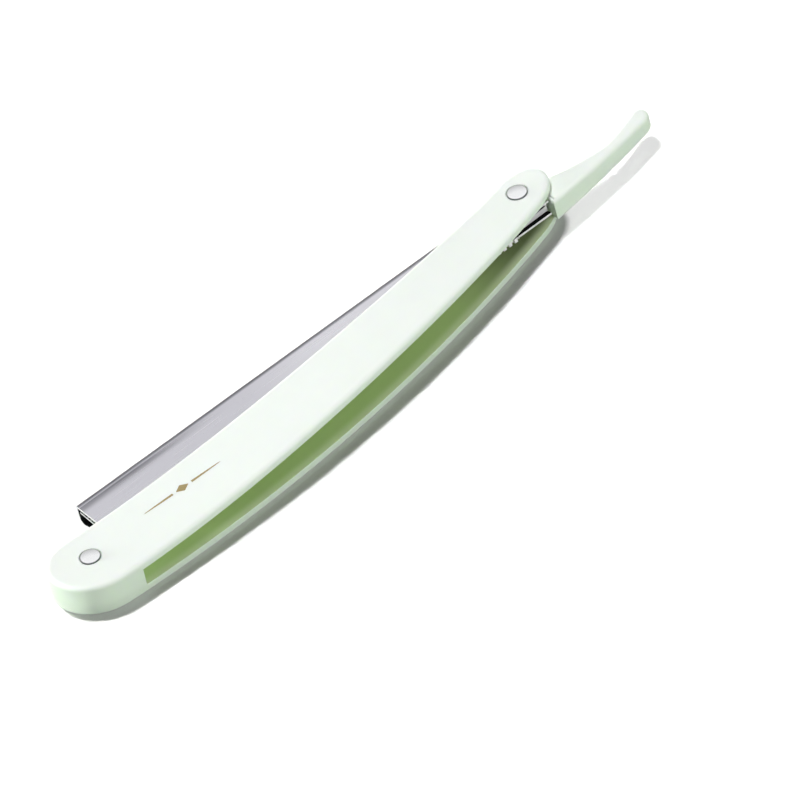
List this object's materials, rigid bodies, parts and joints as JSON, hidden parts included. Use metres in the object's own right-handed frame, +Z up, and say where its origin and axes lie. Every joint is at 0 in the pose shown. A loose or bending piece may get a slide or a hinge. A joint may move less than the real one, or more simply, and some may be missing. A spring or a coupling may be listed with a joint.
{
  "type": "folding razor",
  "caption": "Folding razor: pale plastic scales riveted over a swinging sheet-steel blade holder with a guard comb, a spring clamp leaf, a strip blade and a hooked plastic tail.",
  "frame": {"origin": "halfway between the rear rivet and the pivot rivet, on the flat outer face of the rear scale that the razor lies on", "axes": "+X along the line of the rivets towards the pivot and the tail, +Y to the side that the blade holder swings out of, +Z up out of the front scale"},
  "size_m": [0.1689, 0.0285, 0.0097],
  "materials": {
    "mint_plastic": "smooth, pale mint, slightly translucent",
    "nickel_plate": "polished nickel plate",
    "satin_steel": "satin, brushed along its length",
    "blade_steel": "fine ground"
  },
  "bodies": {
    "handle": {"front_scale": "mint_plastic", "rear_scale": "mint_plastic", "end_spacer": "mint_plastic", "rear_rivet": "nickel_plate", "rear_rivet_burr": "nickel_plate", "pivot_rivet": "nickel_plate", "pivot_rivet_burr": "nickel_plate", "front_pivot_washer": "nickel_plate", "rear_pivot_washer": "nickel_plate"},
    "blade_arm": {"blade_sheath": "satin_steel", "clamp_leaf": "satin_steel", "blade": "blade_steel", "tail": "mint_plastic"}
  },
  "joints": [
    {"name": "arm_pivot", "type": "hinge", "parent": "handle", "child": "blade_arm", "pos_m": [0.0625, 0, 0.0046], "axis": [0.008, 0, -1], "range_deg": [-1.5, 335]}
  ]
}
